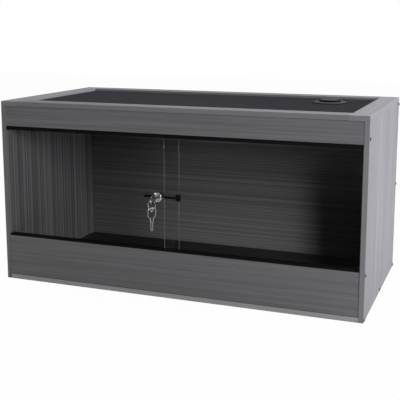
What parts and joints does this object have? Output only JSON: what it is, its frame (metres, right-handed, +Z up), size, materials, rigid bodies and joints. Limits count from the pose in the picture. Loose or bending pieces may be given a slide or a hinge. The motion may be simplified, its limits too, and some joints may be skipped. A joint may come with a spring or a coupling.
{
  "type": "terrarium cabinet",
  "caption": "Wood terrarium cabinet with mesh top, two sliding glass front doors, ratchet lock with keys and a round top port.",
  "frame": {"origin": "centre of the flat base that the cabinet stands on", "axes": "+X along the width to the right as seen from the doors, -Y out of the front, +Z up"},
  "size_m": [0.9176, 0.5214, 0.4601],
  "materials": {
    "board": "grey wood-grain laminate, satin",
    "dowel": "plain beech",
    "liner": "black, semi-gloss",
    "mesh": "fine black coated mesh",
    "black_plastic": "black, satin",
    "glass": "clear, polished edges",
    "chrome": "polished",
    "steel": "nickel-plated",
    "black_steel": "black, satin"
  },
  "bodies": {
    "cabinet": {"left_side_panel": "board", "right_side_panel": "board", "back_panel": "board", "bottom_panel": "board", "front_kick_board": "board", "front_header": "board", "top_rail_front": "board", "top_rail_back": "board", "top_rail_left": "board", "top_rail_right": "board", "mesh_clamp_strip_front": "board", "mesh_clamp_strip_back": "board", "mesh_clamp_strip_left": "board", "mesh_clamp_strip_right": "board", "floor_liner": "liner", "top_mesh": "mesh", "port_flange": "black_plastic", "port_clamp_ring": "black_plastic", "upper_track": "black_plastic", "lower_track": "black_plastic", "screw_left_front_top": "black_steel", "screw_left_front_middle": "black_steel", "screw_left_front_bottom": "black_steel", "screw_left_centre_bottom": "black_steel", "screw_left_back_top": "black_steel", "screw_left_back_middle": "black_steel", "screw_left_back_bottom": "black_steel", "screw_right_front_top": "black_steel", "screw_right_front_middle": "black_steel", "screw_right_front_bottom": "black_steel", "screw_right_centre_bottom": "black_steel", "screw_right_back_top": "black_steel", "screw_right_back_middle": "black_steel", "screw_right_back_bottom": "black_steel", "screw_back_left": "black_steel", "screw_back_centre": "black_steel", "screw_back_right": "black_steel", "dowel_left_front": "dowel", "dowel_left_back": "dowel", "dowel_right_front": "dowel", "dowel_right_back": "dowel"},
    "left_door": {"left_glass_door": "glass", "lock_ratchet_bar": "black_steel"},
    "right_door": {"right_glass_door": "glass"},
    "lock": {"lock_body": "chrome"},
    "plug": {"lock_plug": "chrome"},
    "pawl": {"lock_pawl": "steel"},
    "key": {"lock_key": "steel"},
    "ring": {"key_ring": "steel"},
    "second_key": {"spare_key": "steel"},
    "cap": {"port_cap": "black_plastic"}
  },
  "joints": [
    {"name": "left_door_slide", "type": "slide", "parent": "cabinet", "child": "left_door", "axis": [1, 0, 0], "range_m": [0, 0.42]},
    {"name": "right_door_slide", "type": "slide", "parent": "cabinet", "child": "right_door", "axis": [1, 0, 0], "range_m": [-0.41, 0]},
    {"name": "lock_slide", "type": "slide", "parent": "right_door", "child": "lock", "axis": [-1, 0, 0], "range_m": [0, 0.056]},
    {"name": "lock_plug_turn", "type": "hinge", "parent": "lock", "child": "plug", "pos_m": [-0.0235, -0.2259, 0.24919], "axis": [0, 1, 0], "range_deg": [0, 45]},
    {"name": "pawl_drop", "type": "slide", "parent": "lock", "child": "pawl", "axis": [0, 0, -1], "range_m": [0, 0.00142]},
    {"name": "key_pull", "type": "slide", "parent": "plug", "child": "key", "axis": [0, -1, 0], "range_m": [0, 0.025]},
    {"name": "ring_hang", "type": "hinge", "parent": "key", "child": "ring", "pos_m": [-0.0235, -0.2819, 0.24319], "axis": [0, 1, 0], "range_deg": [-46, 0]},
    {"name": "second_key_swing", "type": "hinge", "parent": "ring", "child": "second_key", "pos_m": [-0.0235, -0.2819, 0.22874], "axis": [1, 0, 0], "range_deg": [-30, 30]},
    {"name": "port_cap_lift", "type": "slide", "parent": "cabinet", "child": "cap", "axis": [0, 0, 1], "range_m": [0, 0.05]}
  ],
  "couplings": [
    {"joint": "pawl_drop", "follows": "lock_plug_turn", "m_per_rad": 0.0018006},
    {"joint": "ring_hang", "follows": "lock_plug_turn", "ratio": -1}
  ]
}
